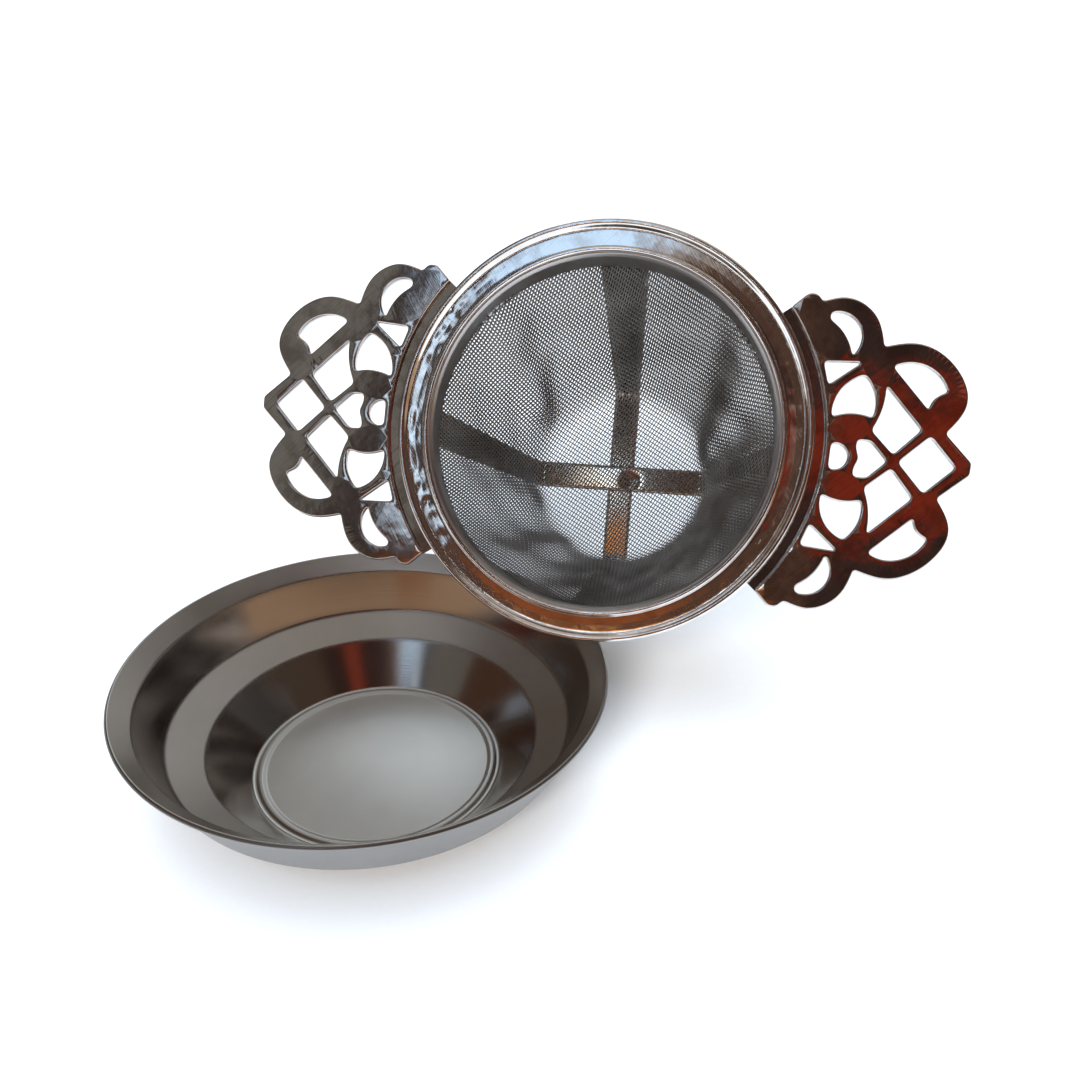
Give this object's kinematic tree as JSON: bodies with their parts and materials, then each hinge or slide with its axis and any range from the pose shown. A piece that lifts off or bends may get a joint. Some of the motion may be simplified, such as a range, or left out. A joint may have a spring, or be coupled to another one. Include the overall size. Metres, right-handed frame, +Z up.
{
  "type": "tea strainer",
  "caption": "Round mesh tea strainer with pierced ears and crossed support straps, propped on the rim of its stepped drip bowl.",
  "frame": {"origin": "middle of the drip bowl's flat underside", "axes": "+Z up, +X along the strainer's ears, +Y away from the side the strainer's mouth faces"},
  "size_m": [0.143, 0.1051, 0.0897],
  "materials": {
    "satin_steel": "satin pressed stainless steel",
    "polished_steel": "bright polished stainless steel",
    "dull_steel": "plain rolled stainless steel",
    "wire_cloth": "plain-woven fine stainless wire",
    "strap_steel": "rolled stainless strip"
  },
  "bodies": {
    "bowl": {"drip_bowl": "satin_steel"},
    "strainer": {"rim_ring": "polished_steel", "clamp_ring": "dull_steel", "mesh_basket": "wire_cloth", "side_to_side_strap": "strap_steel", "top_to_bottom_strap": "strap_steel", "strap_weld": "dull_steel", "right_ear": "polished_steel", "left_ear": "polished_steel"}
  },
  "joints": [
    {"name": "strainer_lift", "type": "slide", "parent": "bowl", "child": "strainer", "axis": [0, 0, 1], "range_m": [0, 0.06]}
  ]
}
